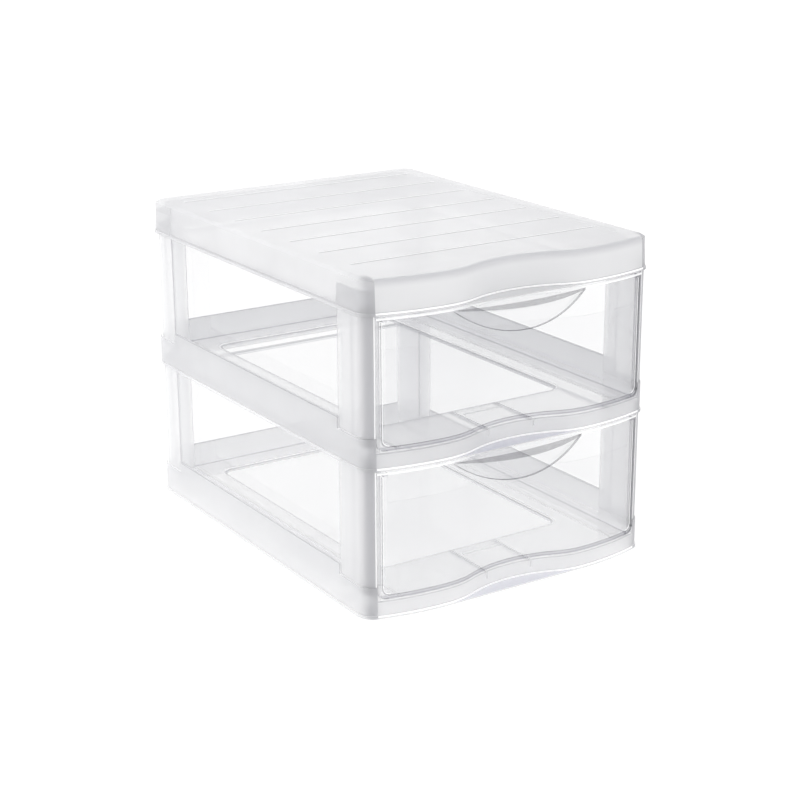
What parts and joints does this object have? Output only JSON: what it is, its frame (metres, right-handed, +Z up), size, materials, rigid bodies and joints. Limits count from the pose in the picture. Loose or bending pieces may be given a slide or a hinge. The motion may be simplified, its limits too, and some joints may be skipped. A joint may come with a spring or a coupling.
{
  "type": "letter tray stack with drawers",
  "caption": "Free-standing frosted desk unit with a wavy front, whose clear full-width drawers slide out by hooded pulls between corner posts.",
  "frame": {"origin": "middle of the footprint, on the surface that the unit stands on", "axes": "+X to the right as seen from the drawers, +Y to the rear, +Z up; the drawers open along -Y"},
  "size_m": [0.26, 0.36, 0.255],
  "materials": {
    "frosted_shell": "frosted natural polypropylene, fine satin",
    "frosted_post": "frosted natural polypropylene, fine satin",
    "clear_drawer": "clear glossy polypropylene with a faint blue cast"
  },
  "bodies": {
    "frame": {"top_cover": "frosted_shell", "middle_shelf": "frosted_shell", "base_shelf": "frosted_shell", "upper_front_left_post": "frosted_post", "upper_front_right_post": "frosted_post", "upper_rear_left_post": "frosted_post", "upper_rear_right_post": "frosted_post", "lower_front_left_post": "frosted_post", "lower_front_right_post": "frosted_post", "lower_rear_left_post": "frosted_post", "lower_rear_right_post": "frosted_post"},
    "upper_drawer": {"upper_drawer": "clear_drawer"},
    "lower_drawer": {"lower_drawer": "clear_drawer"}
  },
  "joints": [
    {"name": "upper_drawer_slide", "type": "slide", "parent": "frame", "child": "upper_drawer", "axis": [0, -1, 0], "range_m": [0, 0.26]},
    {"name": "lower_drawer_slide", "type": "slide", "parent": "frame", "child": "lower_drawer", "axis": [0, -1, 0], "range_m": [0, 0.26]}
  ]
}
